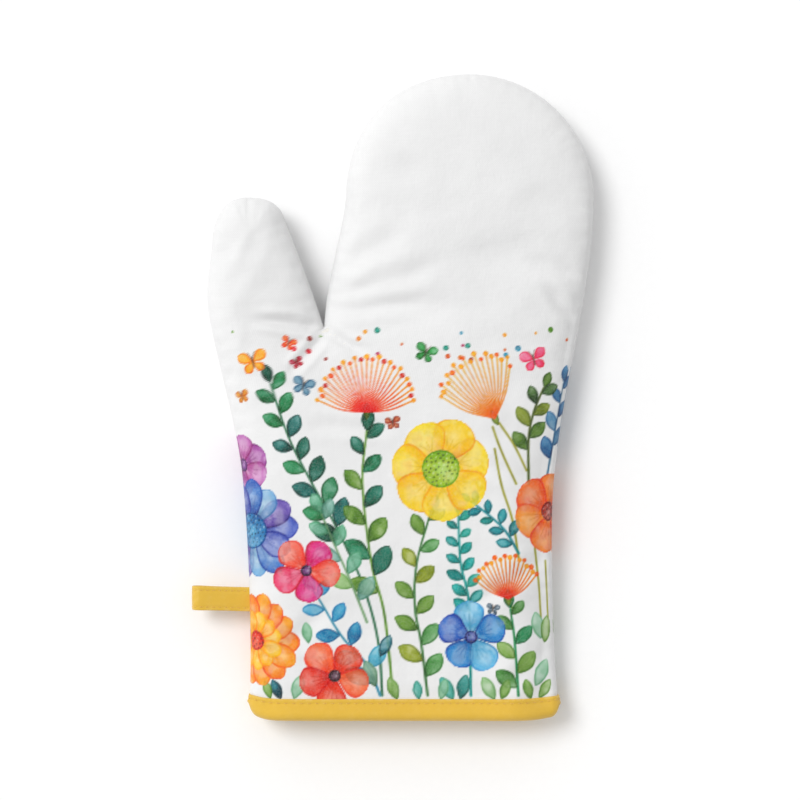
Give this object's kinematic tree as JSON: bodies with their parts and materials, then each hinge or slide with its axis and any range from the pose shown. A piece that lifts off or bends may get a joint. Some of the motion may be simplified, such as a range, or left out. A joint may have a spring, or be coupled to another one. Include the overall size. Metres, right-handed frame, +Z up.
{
  "type": "oven mitt",
  "caption": "Padded fabric mitt with a thumb, a bound cuff and a side hanging loop, for gripping hot cookware.",
  "frame": {"origin": "centre of the whole mitt's box in plan, on the surface that it lies on", "axes": "+Y from the cuff towards the fingertip, +Z up from the surface, the thumb and the loop on the -X side"},
  "size_m": [0.1876, 0.3, 0.028],
  "materials": {
    "cotton_cover": "matte woven cotton with a watercolour flower print",
    "padding": "soft batting",
    "lining": "matte plain-weave cotton",
    "binding_tape": "matte cotton bias tape",
    "yellow_thread": "sewing thread",
    "white_thread": "sewing thread"
  },
  "bodies": {
    "hand": {"palm_front_cover": "cotton_cover", "palm_front_padding": "padding", "palm_front_lining": "lining", "palm_back_cover": "cotton_cover", "palm_back_padding": "padding", "palm_back_lining": "lining", "cuff_binding": "binding_tape", "binding_stitches": "yellow_thread", "side_seam_thread": "white_thread"},
    "fingers": {"finger_front_cover": "cotton_cover", "finger_front_padding": "padding", "finger_front_lining": "lining", "finger_back_cover": "cotton_cover", "finger_back_padding": "padding", "finger_back_lining": "lining", "finger_seam_thread": "white_thread"},
    "thumb": {"thumb_front_cover": "cotton_cover", "thumb_front_padding": "padding", "thumb_front_lining": "lining", "thumb_back_cover": "cotton_cover", "thumb_back_padding": "padding", "thumb_back_lining": "lining", "thumb_seam_thread": "white_thread"},
    "loop": {"hanging_loop": "binding_tape", "loop_stitches": "yellow_thread"}
  },
  "joints": [
    {"name": "finger_fold", "type": "hinge", "parent": "hand", "child": "fingers", "pos_m": [0.025, 0.036, 0.028], "axis": [1, 0, 0], "range_deg": [0, 75], "stiffness_Nm_per_rad": 0.06},
    {"name": "thumb_fold", "type": "hinge", "parent": "hand", "child": "thumb", "pos_m": [-0.05445, 0.0155, 0.028], "axis": [0.8048, 0.5935, 0], "range_deg": [0, 60], "stiffness_Nm_per_rad": 0.02},
    {"name": "loop_swing", "type": "hinge", "parent": "hand", "child": "loop", "pos_m": [-0.06937, -0.094, 0.01277], "axis": [0, 1, 0], "range_deg": [-20, 80], "stiffness_Nm_per_rad": 0.002}
  ]
}
